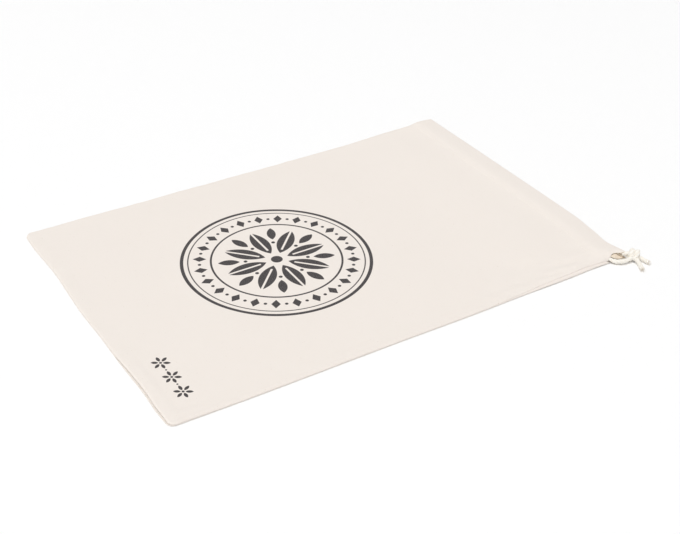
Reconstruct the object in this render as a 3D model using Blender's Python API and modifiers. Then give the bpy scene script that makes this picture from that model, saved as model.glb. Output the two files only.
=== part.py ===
"""Drawcord bread bag of unbleached cotton, lying flat and empty.

Frame: +X runs from the closed end to the mouth, +Y across the bag, +Z up. The origin is
under the middle of the cloth, on the surface that the bag lies on. The side at -Y is the
near side, where the drawcord comes out of the mouth hem.

Each panel is one cut of cloth: a flat run, then a mouth hem that turns in and runs back
as the inner wall of the drawcord's casing. A point of a panel is given by its distance
from the mouth, called back, and its distance from the near side seam, called near.
"""

import math
from collections import namedtuple

import bmesh
import bpy
from mathutils import Vector

MM = 0.001

# Driving dimensions of the bag
LENGTH = 448 * MM
WIDTH = 301 * MM
CLOTH = 1.0 * MM
GAP = 0.3 * MM
CORD_GAP = 0.44 * MM
LAYER_GAP = 0.4 * MM
CORD = 3.5 * MM
FREE_CORD = 4.2 * MM
HEM_DEPTH = 28 * MM
SEAM_ALLOWANCE = 9 * MM
ALLOWANCE_EDGE = 2.5 * MM
SEAM_RELIEF = 0.6 * MM

# Where the two runs of the cord lie in the hem, as distances back from the mouth
WRAP = CORD / 2 + CORD_GAP + CLOTH / 2
FRONT_CORD_BACK = WRAP + CLOTH / 2
BACK_CORD_BACK = 18 * MM
CASING_FLANK = 8 * MM

# Heights of the cloth's middle surface, layer on layer
LAYER_STEP = CLOTH + LAYER_GAP
BACK_Z = CLOTH / 2
FRONT_Z = BACK_Z + CLOTH + GAP
BACK_HEM_Z = BACK_Z + LAYER_STEP
BACK_CORD_Z = CLOTH / 2 + WRAP
CASING_RISE = BACK_CORD_Z + WRAP - BACK_HEM_Z
FRONT_CORD_Z = BACK_HEM_Z + LAYER_STEP + WRAP
MOUTH_Z = FRONT_CORD_Z + WRAP

# How the laid cloth departs from the cut rectangle
EDGE_ROLL = 5 * MM
PINCH_ROLL = 11 * MM
PINCH_START = 28 * MM
PINCH_FADE = 26 * MM
SEAM_ROLL = 2 * MM
FAR_TUCK = 13 * MM
NEAR_TUCK = 10 * MM
OPEN_TUCK = 0.6 * MM
TUCK_FADE = 45 * MM
EARLY_TUCK = 6 * MM
NOSE_TUCK = 0.15
SEAM_STOP = 17.5 * MM
SEAM_BLEND = 6.5 * MM
CORNER_RADIUS = 6 * MM
MOUTH_DRAW_FADE = 80 * MM
NEAR_DRAW_FADE = 60 * MM
CLOSED_DRAW_FADE = 30 * MM

Row = namedtuple("Row", "place size")
Fold = namedtuple("Fold", "start_x start_y end_x end_y half_width height")
Swell = namedtuple("Swell", "x y reach_x reach_y height")

# Rise of the front panel over its flat state behind the mouth's cords, by distance back
COVER_RISE = [
    Row(18 * MM, MOUTH_Z - FRONT_Z),
    Row(28 * MM, 4.9 * MM),
    Row(40 * MM, 4.0 * MM),
    Row(54 * MM, 3.6 * MM),
    Row(74 * MM, 2.7 * MM),
    Row(92 * MM, 1.7 * MM),
    Row(110 * MM, 0.9 * MM),
    Row(132 * MM, 0.3 * MM),
    Row(160 * MM, 0.0 * MM),
]

# How far the cord draws the mouth in, by distance from the near side
MOUTH_DRAW = [
    Row(0 * MM, 1.6 * MM),
    Row(7 * MM, 2.6 * MM),
    Row(22 * MM, 5.4 * MM),
    Row(38 * MM, 3.2 * MM),
    Row(50 * MM, 2.0 * MM),
    Row(68 * MM, 0.2 * MM),
    Row(200 * MM, 0.5 * MM),
    Row(301 * MM, 1.2 * MM),
]

# How far the near side steps in, by distance from the mouth
NEAR_DRAW = [
    Row(0 * MM, 0.3 * MM),
    Row(10 * MM, 0.7 * MM),
    Row(22 * MM, 1.3 * MM),
    Row(32 * MM, 1.5 * MM),
    Row(44 * MM, 1.3 * MM),
    Row(56 * MM, 0.8 * MM),
    Row(74 * MM, 0.6 * MM),
    Row(120 * MM, 0.9 * MM),
    Row(172 * MM, 0.1 * MM),
    Row(245 * MM, 0.4 * MM),
    Row(300 * MM, 0.1 * MM),
    Row(382 * MM, -0.3 * MM),
    Row(448 * MM, 0.3 * MM),
]

# How much further in the front panel's near edge lies: its open corner, then its seam
SEAM_DRAW = [
    Row(2 * MM, 0.4 * MM),
    Row(7 * MM, 1.6 * MM),
    Row(11 * MM, 2.8 * MM),
    Row(15 * MM, 2.3 * MM),
    Row(19 * MM, 1.5 * MM),
    Row(27 * MM, 1.8 * MM),
    Row(42 * MM, 2.4 * MM),
    Row(66 * MM, 2.5 * MM),
    Row(92 * MM, 2.0 * MM),
    Row(120 * MM, 0.9 * MM),
    Row(150 * MM, 0.2 * MM),
    Row(175 * MM, 0.0 * MM),
]

# How far the closed end steps in, by distance from the near side
CLOSED_DRAW = [
    Row(0 * MM, 0.8 * MM),
    Row(24 * MM, 0.2 * MM),
    Row(46 * MM, 0.9 * MM),
    Row(90 * MM, 0.0 * MM),
    Row(126 * MM, 0.1 * MM),
    Row(164 * MM, -0.7 * MM),
    Row(190 * MM, 0.0 * MM),
    Row(230 * MM, 1.4 * MM),
    Row(275 * MM, -0.2 * MM),
    Row(301 * MM, 0.4 * MM),
]

# The front panel's closed edge lies a little further in than the back panel's
FRONT_CLOSED_EXTRA = [
    Row(0 * MM, 0.9 * MM),
    Row(12 * MM, 1.5 * MM),
    Row(70 * MM, 1.5 * MM),
    Row(100 * MM, 0.5 * MM),
    Row(301 * MM, 0.4 * MM),
]

# Creases and troughs of the front panel, in X and Y
FOLDS = [
    Fold(137 * MM, -129 * MM, 190 * MM, -141 * MM, 6.5 * MM, -1.3 * MM),
    Fold(104 * MM, -121 * MM, 150 * MM, -115 * MM, 11 * MM, -0.7 * MM),
    Fold(196 * MM, -125 * MM, 216 * MM, -122 * MM, 4.5 * MM, -0.45 * MM),
    Fold(200 * MM, -97 * MM, 221 * MM, -97 * MM, 4.5 * MM, -0.4 * MM),
    Fold(176 * MM, -60 * MM, 214 * MM, -48 * MM, 9 * MM, -0.6 * MM),
    Fold(170 * MM, 42 * MM, 214 * MM, 52 * MM, 10 * MM, -0.6 * MM),
    Fold(-214 * MM, 12 * MM, -211 * MM, 70 * MM, 6 * MM, -0.4 * MM),
]

# Broad soft rises of the front panel
SWELLS = [
    Swell(150 * MM, -90 * MM, 62 * MM, 46 * MM, 1.0 * MM),
    Swell(156 * MM, 84 * MM, 70 * MM, 52 * MM, 0.9 * MM),
    Swell(38 * MM, -98 * MM, 80 * MM, 40 * MM, 0.6 * MM),
    Swell(-60 * MM, 96 * MM, 90 * MM, 44 * MM, 0.6 * MM),
    Swell(-142 * MM, -72 * MM, 64 * MM, 60 * MM, 0.5 * MM),
    Swell(-176 * MM, 80 * MM, 40 * MM, 52 * MM, 0.6 * MM),
]

# Stations of the front panel, as distances back from the mouth or on from the closed end
CASING_STATIONS = [mm * MM for mm in (5.5, 8, 10.5, 13, 15.5, 18, 20.5, 24, 28)]
PUFF_STATIONS = [mm * MM for mm in (33, 40, 49, 60, 73, 88, 105, 124, 146)]
HEM_STATIONS = [mm * MM for mm in (6, 8.5, 10.5, 12.5, 14, 16, 18, 20, 22, 24, 26, 28)]
END_STATIONS = [mm * MM for mm in (13, 11.5, 9, 5, 2.2, 0.8, 0)]
FRONT_PITCH = 26 * MM
NOSE_STEPS = 6

# Stations of the back panel, in the same way; it shares the hem stations
BACK_STATIONS = [mm * MM for mm in (8, 18, 28, 40, 60)]
BACK_END_STATIONS = [mm * MM for mm in (9, 2.2, 0)]
BACK_PITCH = 34 * MM
FOLD_STEPS = 4

# Stations of the cloth, as distances in from a side seam
SEAM_STATIONS = [mm * MM for mm in (0.8, 2.2, 8.5, 13)]
SHARED_STATIONS = [mm * MM for mm in (0, 5, 10.5, 16, 21, 26, 31, 37, 45)]
DRAWN_STATIONS = [mm * MM for mm in (52, 60, 69)]
ROW_PITCH = 23 * MM

# The knot just outside the mouth, and the cord's routes to it and past it
KNOT_CENTRE = Vector((226.9, -154.2, 5.3)) * MM
KNOT_RADII = Vector((5.4, 5.4, 5.2)) * MM
KNOT_AXIS = Vector((0.75, -0.66, 0.0)).normalized()
KNOT_RIPPLE = 0.06
KNOT_SEGMENTS = 24
KNOT_RINGS = 14
CASING_LIP = 4 * MM
FRONT_END_ROUTE = [
    Vector((218.9, -150.2, 5.9)) * MM,
    Vector((219.4, -152.0, 6.1)) * MM,
    Vector((220.2, -153.2, 6.4)) * MM,
]
BACK_END_ROUTE = [
    Vector((204.6, -150.2, 3.1)) * MM,
    Vector((206.1, -152.6, 2.5)) * MM,
    Vector((208.9, -154.7, 2.15)) * MM,
    Vector((212.3, -156.3, 2.15)) * MM,
    Vector((215.6, -157.3, 2.2)) * MM,
    Vector((218.4, -157.7, 2.5)) * MM,
]
FRONT_TAIL_ROUTE = [
    Vector((230.6, -160.2, 2.9)) * MM,
    Vector((232.2, -163.6, 2.15)) * MM,
    Vector((233.2, -167.4, 2.15)) * MM,
]
BACK_TAIL_ROUTE = [
    Vector((223.6, -161.0, 2.7)) * MM,
    Vector((222.4, -166.4, 2.15)) * MM,
    Vector((221.0, -172.4, 2.15)) * MM,
]
TIGHT_RUN = 4.5 * MM
LOOSEN_RUN = 3 * MM
END_STEP = 1.2 * MM
TWIST_PITCH = 13 * MM
STRANDS = 3
STRAND_SIDES = 4
STRAND_RELIEF = 0.07
TURN_STEPS = 8
HELD_ROUNDNESS = 2

# Finishes: colour, roughness
CLOTH_FINISH = ((0.89, 0.84, 0.77), 0.92)
CORD_FINISH = ((0.91, 0.86, 0.78), 0.88)


def ease(t):
    """Rise smoothly from 0 to 1 as t goes from 0 to 1."""
    t = min(max(t, 0.0), 1.0)
    return t * t * (3 - 2 * t)


def mound(t):
    """A smooth bump: 1 at t = 0, and 0 from t = 1 on either side."""
    return 0.5 * (1 + math.cos(math.pi * t)) if abs(t) < 1 else 0.0


def roll(t):
    """A quarter round: 0 and upright at an edge where t = 0, and level from t = 1."""
    return math.sqrt(1 - (1 - t) ** 2) if t < 1 else 1.0


def slope_at(rows, i):
    """Slope of a table's smooth curve at row i, level at its two ends."""
    if i in (0, len(rows) - 1):
        return 0.0
    before, after = rows[i - 1], rows[i + 1]
    return (after.size - before.size) / (after.place - before.place)


def read_at(rows, place):
    """Read a table at a place, on a smooth curve through its rows."""
    if place <= rows[0].place:
        return rows[0].size
    for i, (low, high) in enumerate(zip(rows, rows[1:])):
        if place <= high.place:
            span = high.place - low.place
            t = (place - low.place) / span
            size = low.size + (high.size - low.size) * ease(t)
            size += slope_at(rows, i) * span * t * (1 - t) ** 2
            return size - slope_at(rows, i + 1) * span * t**2 * (1 - t)
    return rows[-1].size


def fold_height(x, y):
    """Height that the creases and swells add to the front panel at X and Y."""
    height = 0.0
    for fold in FOLDS:
        run = Vector((fold.end_x - fold.start_x, fold.end_y - fold.start_y))
        reach = Vector((x - fold.start_x, y - fold.start_y))
        along = reach.dot(run) / run.length_squared
        across = abs(run.cross(reach)) / run.length
        height += fold.height * mound(across / fold.half_width) * mound(2 * along - 1)
    for swell in SWELLS:
        distance = math.hypot((x - swell.x) / swell.reach_x, (y - swell.y) / swell.reach_y)
        height += swell.height * mound(distance)
    return height


def laid_xy(back, near, front=False):
    """Place of a point of the cloth on the table, drawn in at the mouth and sides."""
    near_draw = read_at(NEAR_DRAW, back)
    draw = read_at(CLOSED_DRAW, near)
    if front:
        near_draw += read_at(SEAM_DRAW, back)
        draw += read_at(FRONT_CLOSED_EXTRA, near)
    side = min(near, WIDTH - near)
    cut = max(CORNER_RADIUS - side, 0.0)
    draw += CORNER_RADIUS - math.sqrt(CORNER_RADIUS**2 - cut**2)
    across = near + near_draw * (1 - ease(near / NEAR_DRAW_FADE))
    mouth = read_at(MOUTH_DRAW, across) * (1 - ease((back - HEM_DEPTH) / MOUTH_DRAW_FADE))
    closing = 1 - ease((LENGTH - back) / CLOSED_DRAW_FADE)
    return LENGTH / 2 - back - mouth + draw * closing, across - WIDTH / 2


def casing_layer(back, layers):
    """Height of a hem layer that is the given number of layers above the back's hem."""
    t = (back - BACK_CORD_BACK) / CASING_FLANK
    slope = 0.0
    if abs(t) < 1:
        slope = CASING_RISE * math.pi / (2 * CASING_FLANK) * math.sin(math.pi * t)
    spread = LAYER_STEP * math.sqrt(1 + slope**2)
    return BACK_HEM_Z + CASING_RISE * mound(t) + layers * spread


def cover_height(back, near):
    """Height of the front panel's outer run, before it rolls down to its seams."""
    if back < BACK_CORD_BACK:
        return MOUTH_Z
    x, y = laid_xy(back, near, True)
    shown = ease((back - BACK_CORD_BACK) / CASING_FLANK)
    return FRONT_Z + max(read_at(COVER_RISE, back) + fold_height(x, y) * shown, 0.0)


def hem_height(back, near):
    """Height of the front panel's hem: between the cords, then close under its cover."""
    if back < BACK_CORD_BACK:
        return casing_layer(back, 1)
    return cover_height(back, near) - LAYER_STEP


def seam_relief(back, near):
    """Rise of the front panel over the seam allowances that lie inside the edges."""
    edge = min(near, WIDTH - near, LENGTH - back)
    band = 1 - ease((edge - SEAM_ALLOWANCE) / ALLOWANCE_EDGE)
    behind_hem = ease((back - HEM_DEPTH) / CASING_FLANK)
    return SEAM_RELIEF * band * roll(edge / SEAM_ROLL) * behind_hem


def closed_height(height, back, near):
    """Bring a height of the front panel down to the seams at its two sides."""
    sewn = ease((back - SEAM_STOP) / SEAM_BLEND)
    pinch = 1 - ease((back - PINCH_START) / PINCH_FADE)
    near_roll = EDGE_ROLL + (PINCH_ROLL - EDGE_ROLL) * pinch
    near_share = 1 - sewn + sewn * roll(near / near_roll)
    far_share = roll((WIDTH - near) / EDGE_ROLL)
    return FRONT_Z + (height - FRONT_Z) * min(near_share, far_share)


def tucked(back, near, tuck):
    """Draw a turned layer's rows in from the sides, by the share of its turn."""
    near_inset = OPEN_TUCK + (NEAR_TUCK - OPEN_TUCK) * ease((back - SEAM_STOP) / SEAM_BLEND)
    near_share = max(1 - near / TUCK_FADE, 0.0)
    far_share = max(1 - (WIDTH - near) / TUCK_FADE, 0.0)
    return near + tuck * (near_inset * near_share - FAR_TUCK * far_share)


def front_point(column, near):
    """Middle surface of the front panel at a column and a distance from the near side."""
    run, value = column
    if run == "outer":
        height = closed_height(cover_height(value, near), value, near)
        x, y = laid_xy(value, near, True)
        return Vector((x, y, height + seam_relief(value, near)))
    if run == "turn":
        back = FRONT_CORD_BACK - WRAP * math.cos(value)
        height = FRONT_CORD_Z + WRAP * math.sin(value)
        turned = NOSE_TUCK - (1 - NOSE_TUCK) * math.sin(value)
        near = tucked(back, near, max(turned, 0.0))
    else:
        back = value
        near = tucked(back + EARLY_TUCK, near, 1)
        height = hem_height(back, near)
    x, y = laid_xy(back, near, True)
    return Vector((x, y, closed_height(height, back, near)))


def back_point(column, near):
    """Middle surface of the back panel at a column and a distance from the near side."""
    run, value = column
    if run == "outer":
        x, y = laid_xy(value, near)
        return Vector((x, y, BACK_Z))
    if run == "turn":
        radius = LAYER_STEP / 2
        back = CLOTH / 2 + radius * (1 - math.cos(value))
        height = BACK_Z + radius * (1 + math.sin(value))
        near = tucked(back, near, max(math.sin(value), 0.0))
    else:
        back, height = value, casing_layer(value, 0)
        near = tucked(back, near, 1)
    x, y = laid_xy(back, near)
    return Vector((x, y, height))


def spaced(start, end, pitch):
    """Even stations between two places, neither of them included."""
    count = max(round((end - start) / pitch), 1)
    return [start + (end - start) * i / count for i in range(1, count)]


def front_columns():
    """Columns of the front panel, from its closed end round the mouth to its hem's end."""
    closed = [LENGTH - place for place in END_STATIONS]
    flat = spaced(PUFF_STATIONS[-1], closed[0], FRONT_PITCH)
    outer = [FRONT_CORD_BACK] + CASING_STATIONS + PUFF_STATIONS + flat + closed
    turn = [math.pi / 2 - math.pi * i / NOSE_STEPS for i in range(1, NOSE_STEPS + 1)]
    columns = [("outer", back) for back in reversed(outer)]
    columns += [("turn", angle) for angle in turn]
    return columns + [("hem", back) for back in HEM_STATIONS]


def back_columns():
    """Columns of the back panel, from its closed end round the mouth to its hem's end."""
    turn_back = CLOTH / 2 + LAYER_STEP / 2
    closed = [LENGTH - place for place in BACK_END_STATIONS]
    flat = spaced(BACK_STATIONS[-1], closed[0], BACK_PITCH)
    outer = [turn_back] + BACK_STATIONS + flat + closed
    turn = [-math.pi / 2 + math.pi * i / FOLD_STEPS for i in range(1, FOLD_STEPS + 1)]
    columns = [("outer", back) for back in reversed(outer)]
    columns += [("turn", angle) for angle in turn]
    return columns + [("hem", back) for back in HEM_STATIONS]


def shared_rows():
    """Rows that both panels and the cord have, from the near seam to the far one."""
    near_side = SHARED_STATIONS + DRAWN_STATIONS
    far_side = [WIDTH - place for place in reversed(SHARED_STATIONS)]
    return near_side + spaced(near_side[-1], far_side[0], ROW_PITCH) + far_side


def front_rows():
    """The shared rows, with more of them along the two side seams."""
    seams = SEAM_STATIONS + [WIDTH - place for place in SEAM_STATIONS]
    return sorted(shared_rows() + seams)


def make_material(name, finish):
    colour, roughness = finish
    material = bpy.data.materials.new(name)
    material.use_nodes = True
    shader = material.node_tree.nodes["Principled BSDF"]
    shader.inputs["Base Color"].default_value = (*colour, 1.0)
    shader.inputs["Roughness"].default_value = roughness
    shader.inputs["Metallic"].default_value = 0.0
    return material


def add_object(name, data, finish, collection):
    item = bpy.data.objects.new(name, data)
    data.materials.append(make_material(name, finish))
    collection.objects.link(item)
    return item


def make_panel(name, columns, rows, point, collection):
    """Lay a cut of cloth: a grid, its points laid in place, then given its thickness."""
    mesh = bpy.data.meshes.new(name)
    sheet = bmesh.new()
    bmesh.ops.create_grid(
        sheet, x_segments=len(columns) - 1, y_segments=len(rows) - 1, size=1.0
    )
    for vertex in sheet.verts:
        column = round((vertex.co.x + 1) / 2 * (len(columns) - 1))
        row = round((vertex.co.y + 1) / 2 * (len(rows) - 1))
        vertex.co = point(columns[column], rows[row])
    sheet.to_mesh(mesh)
    sheet.free()
    panel = add_object(name, mesh, CLOTH_FINISH, collection)
    solidify = panel.modifiers.new("Cloth thickness", "SOLIDIFY")
    solidify.thickness = CLOTH
    solidify.offset = 0.0
    return panel


def smooth_route(points, step):
    """Points a step apart on a smooth curve through the route's own points."""
    route = []
    ends = [2 * points[0] - points[1]] + points + [2 * points[-1] - points[-2]]
    for before, start, end, after in zip(ends, ends[1:], ends[2:], ends[3:]):
        count = max(round((end - start).length / step), 1)
        for i in range(count):
            t = i / count
            pull = (end - before) * t + (2 * before - 5 * start + 4 * end - after) * t**2
            pull += (3 * start - before - 3 * end + after) * t**3
            route.append(start + pull / 2)
    return route + [points[-1]]


def casing_line(back, near, height):
    """A point of a cord that runs along its casing."""
    x, y = laid_xy(back, near)
    return Vector((x, y, height))


def held_route():
    """The cord's held run: along the front casing, round at the far seam, and back."""
    radius = (BACK_CORD_BACK - FRONT_CORD_BACK) / 2
    turn_at = WIDTH - radius - CORD - 2 * GAP
    middle = (BACK_CORD_BACK + FRONT_CORD_BACK) / 2
    nears = [near for near in shared_rows() if CASING_LIP < near < turn_at]
    nears = [CASING_LIP] + nears + [turn_at]
    route = [casing_line(FRONT_CORD_BACK, near, FRONT_CORD_Z) for near in nears]
    for i in range(1, TURN_STEPS):
        angle = math.pi * i / TURN_STEPS
        height = FRONT_CORD_Z + (BACK_CORD_Z - FRONT_CORD_Z) * ease(i / TURN_STEPS)
        back = middle - radius * math.cos(angle)
        route.append(casing_line(back, turn_at + radius * math.sin(angle), height))
    route += [casing_line(BACK_CORD_BACK, near, BACK_CORD_Z) for near in reversed(nears)]
    return route


def make_curve(name, route, tilts, radii, collection):
    curve = bpy.data.curves.new(name, "CURVE")
    curve.dimensions = "3D"
    curve.use_fill_caps = True
    spline = curve.splines.new("POLY")
    spline.points.add(len(route) - 1)
    for point, place, tilt, radius in zip(spline.points, route, tilts, radii):
        point.co = (*place, 1.0)
        point.tilt = tilt
        point.radius = radius
    return add_object(name, curve, CORD_FINISH, collection)


def make_held_cord(name, collection):
    route = held_route()
    level, full = [0.0] * len(route), [1.0] * len(route)
    cord = make_curve(name, route, level, full, collection)
    cord.data.bevel_depth = CORD / 2
    cord.data.bevel_resolution = HELD_ROUNDNESS
    return cord


def make_strand_profile(collection):
    """The lobed section of a cord laid up from three strands, as a guide curve."""
    curve = bpy.data.curves.new("strand_profile", "CURVE")
    curve.dimensions = "2D"
    spline = curve.splines.new("POLY")
    sides = STRAND_SIDES * STRANDS
    spline.points.add(sides - 1)
    for i, point in enumerate(spline.points):
        angle = -2 * math.pi * i / sides
        lobe = STRAND_RELIEF * math.cos(STRANDS * angle)
        radius = FREE_CORD / 2 * (1 - STRAND_RELIEF + lobe)
        point.co = (radius * math.cos(angle), radius * math.sin(angle), 0.0, 1.0)
    spline.use_cyclic_u = True
    profile = bpy.data.objects.new("strand_profile", curve)
    profile.hide_render = True
    profile.display_type = "WIRE"
    collection.objects.link(profile)
    return profile


def loosened(run, length):
    """Share of its free thickness that a cord held at both ends has at a run along it."""
    tight = CORD / FREE_CORD
    return tight + (1 - tight) * ease((min(run, length - run) - TIGHT_RUN) / LOOSEN_RUN)


def make_cord_end(name, points, held, profile, collection):
    """A free stretch of twisted cord on a smooth route through the given points."""
    route = smooth_route(points, END_STEP)
    runs = [0.0]
    for start, end in zip(route, route[1:]):
        runs.append(runs[-1] + (end - start).length)
    tilts = [2 * math.pi * run / TWIST_PITCH for run in runs]
    radii = [loosened(run, runs[-1]) if held else 1.0 for run in runs]
    cord = make_curve(name, route, tilts, radii, collection)
    cord.data.bevel_mode = "OBJECT"
    cord.data.bevel_object = profile
    return cord


def knot_reach(direction):
    """Distance from the knot's centre to its surface, two wraps with a groove between."""
    unit = direction.normalized()
    scaled = Vector([unit[i] / KNOT_RADII[i] for i in range(3)])
    groove = math.cos(2 * math.pi * unit.dot(KNOT_AXIS))
    return (1 - KNOT_RIPPLE * groove) / scaled.length


def make_knot(name, collection):
    mesh = bpy.data.meshes.new(name)
    ball = bmesh.new()
    bmesh.ops.create_uvsphere(
        ball, u_segments=KNOT_SEGMENTS, v_segments=KNOT_RINGS, radius=1.0
    )
    for vertex in ball.verts:
        unit = vertex.co.normalized()
        vertex.co = KNOT_CENTRE + unit * knot_reach(unit)
    ball.to_mesh(mesh)
    ball.free()
    mesh.shade_smooth()
    return add_object(name, mesh, CORD_FINISH, collection)


def beside_knot(toward):
    """The point on the line to the knot's centre where a cord's end meets the knot."""
    away = toward - KNOT_CENTRE
    return KNOT_CENTRE + away.normalized() * (knot_reach(away) + CORD_GAP)


def casing_start(back, height):
    """First points of a free end, which meets the held run inside the casing's lip."""
    near = CASING_LIP - CORD_GAP
    return [casing_line(back, near, height), casing_line(back, near - CORD / 2, height)]


def new_collection(name):
    collection = bpy.data.collections.new(name)
    bpy.context.scene.collection.children.link(collection)
    return collection


def main():
    for item in list(bpy.data.objects):
        bpy.data.objects.remove(item)
    bag = new_collection("bread_bag")
    guides = new_collection("guides")

    make_panel("front_panel", front_columns(), front_rows(), front_point, bag)
    make_panel("back_panel", back_columns(), shared_rows(), back_point, bag)

    make_held_cord("drawcord", bag)
    make_knot("knot", bag)
    profile = make_strand_profile(guides)
    front_end = casing_start(FRONT_CORD_BACK, FRONT_CORD_Z) + FRONT_END_ROUTE
    back_end = casing_start(BACK_CORD_BACK, BACK_CORD_Z) + BACK_END_ROUTE
    ends = {
        "front_cord_end": front_end + [beside_knot(FRONT_END_ROUTE[-1])],
        "back_cord_end": back_end + [beside_knot(BACK_END_ROUTE[-1])],
    }
    tails = {
        "front_tail": [beside_knot(FRONT_TAIL_ROUTE[0])] + FRONT_TAIL_ROUTE,
        "back_tail": [beside_knot(BACK_TAIL_ROUTE[0])] + BACK_TAIL_ROUTE,
    }
    for name, points in ends.items():
        make_cord_end(name, points, True, profile, bag)
    for name, points in tails.items():
        make_cord_end(name, points, False, profile, bag)


main()
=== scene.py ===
import math
from collections import namedtuple

import bmesh
import bpy
from mathutils import Matrix, Vector, noise


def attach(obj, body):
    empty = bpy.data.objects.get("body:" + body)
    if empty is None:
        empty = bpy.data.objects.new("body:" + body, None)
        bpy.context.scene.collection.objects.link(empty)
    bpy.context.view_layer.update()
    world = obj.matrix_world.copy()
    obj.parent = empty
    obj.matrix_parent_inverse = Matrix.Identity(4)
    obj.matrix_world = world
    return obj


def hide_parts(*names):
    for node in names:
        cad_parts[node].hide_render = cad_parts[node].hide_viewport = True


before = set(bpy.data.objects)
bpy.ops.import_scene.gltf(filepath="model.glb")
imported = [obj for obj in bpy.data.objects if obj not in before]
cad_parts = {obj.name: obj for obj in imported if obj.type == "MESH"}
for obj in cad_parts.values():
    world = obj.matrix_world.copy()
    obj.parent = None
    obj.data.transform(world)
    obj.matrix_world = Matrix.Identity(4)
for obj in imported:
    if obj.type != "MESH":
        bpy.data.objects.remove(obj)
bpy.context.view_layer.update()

MM = 0.001

# Sizes of the bag, as in its solids
LENGTH = 448 * MM
WIDTH = 301 * MM
CORD = 3.5 * MM
FREE_CORD = 4.2 * MM
HEM_DEPTH = 28 * MM
CASING_FLANK = 8 * MM
SEAM_ALLOWANCE = 9 * MM
SEAM_RELIEF = 0.6 * MM

# How the relief of the seam allowances fades, and comes and goes along them
ALLOWANCE_EDGE = 4.0 * MM
RELIEF_SPACING = 45 * MM
RELIEF_MEAN = 0.55
RELIEF_SPREAD = 1.1
RELIEF_LEAST = 0.12
RELIEF_SEED = 7.0

# The cloth's own thickness, how far apart its layers and the cord's middle lie, and its
# middle surfaces where it lies flat
CLOTH = 0.6 * MM
LAYER_STEP = 1.35 * MM
WRAP = 2.67 * MM
NOSE_WRAP = 2.2 * MM
BACK_Z = CLOTH / 2
FRONT_Z = 1.8 * MM
SEAM_Z = 0.95 * MM
SEAM_PARTING = 0.03 * MM
SEAM_STEP = 0.9 * MM

# Where the two runs of the cord lie in the hem
FRONT_CORD_BACK = NOSE_WRAP + CLOTH / 2
BACK_CORD_BACK = 18 * MM
BACK_HEM_Z = 1.85 * MM
BACK_CORD_Z = 3.17 * MM
CASING_RISE = BACK_CORD_Z + WRAP - BACK_HEM_Z
FRONT_CORD_Z = BACK_HEM_Z + LAYER_STEP + NOSE_WRAP
NOSE_Z = FRONT_CORD_Z + NOSE_WRAP
MOUTH_Z = 8.54 * MM

# How the laid cloth departs from the cut rectangle: its edges roll, its turned layers are
# tucked in, and its sides are drawn in towards the mouth and the closed end
EDGE_ROLL = 5 * MM
PINCH_ROLL = 11 * MM
PINCH_START = 28 * MM
PINCH_FADE = 26 * MM
RIM_ROLL = 1.3 * MM
RIM_INSET = 0.27 * MM
RIM_SPREAD = 0.8
FAR_TUCK = 13 * MM
NEAR_TUCK = 10 * MM
OPEN_TUCK = 0.6 * MM
TUCK_FADE = 45 * MM
EARLY_TUCK = 6 * MM
NOSE_TUCK = 0.15
SEAM_STOP = 14 * MM
SEAM_BLEND = 5.5 * MM
CORNER_RADIUS = 6 * MM
MOUTH_DRAW_FADE = 80 * MM
NEAR_DRAW_FADE = 60 * MM
CLOSED_DRAW_FADE = 30 * MM

Row = namedtuple("Row", "place size")
Fold = namedtuple("Fold", "start_x start_y end_x end_y half_width height")
Swell = namedtuple("Swell", "x y reach_x reach_y height")
Ripple = namedtuple("Ripple", "spacing height")
Motif = namedtuple("Motif", "middle half_length half_width")


def in_mm(kind, *rows):
    """Rows of one kind, from their numbers in millimetres."""
    return [kind(*(number * MM for number in row)) for row in rows]


def route_mm(*points):
    """A route's points, from their X, Y and Z in millimetres."""
    return [Vector(point) * MM for point in points]


# Height of the front panel over the casing, from its nose back to the second cord
CASING_TOP = [
    Row(FRONT_CORD_BACK, NOSE_Z),
    Row(6 * MM, NOSE_Z + 0.34 * MM),
    Row(10 * MM, NOSE_Z + 0.66 * MM),
    Row(14 * MM, NOSE_Z + 0.88 * MM),
    Row(BACK_CORD_BACK, MOUTH_Z),
]

# Rise of the front panel over its flat state behind the mouth's cords, by distance back
COVER_RISE = [Row(BACK_CORD_BACK, MOUTH_Z - FRONT_Z)] + in_mm(
    Row, (28, 4.9), (40, 4.0), (54, 3.6), (74, 2.7), (92, 1.7), (110, 0.9), (132, 0.3),
    (160, 0.0)
)

# How far the cord draws the mouth in, by distance from the near side
MOUTH_DRAW = in_mm(
    Row, (0, 1.6), (7, 2.6), (22, 5.4), (38, 3.2), (50, 2.0), (68, 0.2), (200, 0.5),
    (301, 1.2)
)

# How far the near side steps in, by distance from the mouth
NEAR_DRAW = in_mm(
    Row, (0, 0.3), (10, 0.7), (22, 1.3), (32, 1.5), (44, 1.3), (56, 0.8), (74, 0.6),
    (120, 0.9), (172, 0.1), (245, 0.4), (300, 0.1), (382, -0.3), (448, 0.3)
)

# How much further in the front panel's near edge lies: its open corner, then its seam,
# which the back panel's edge rolls up and over to meet
SEAM_DRAW = in_mm(
    Row, (2, 0.4), (7, 2.1), (11, 3.5), (15, 2.7), (19, 1.6), (27, 1.8), (42, 2.4),
    (66, 2.5), (92, 2.0), (120, 0.9), (150, 0.2), (175, 0.0)
)

# Rise of the hems inside the open corner, where the knot pulls them up: its x is counted
# back from the mouth, and its y from the near side
CORNER_RISE = Swell(9.6 * MM, 5.6 * MM, 8.4 * MM, 6.0 * MM, 4.3 * MM)

# How far the edges of the front panel and of the back hem sag in the open corner
LIP_SAG = 1.2 * MM
HEM_SAG = 0.85 * MM
SAG_REACH = 3.5 * MM
SAG_START = 2.6 * MM
SAG_BLEND = 3 * MM
HEM_SAG_END = 8 * MM

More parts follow.
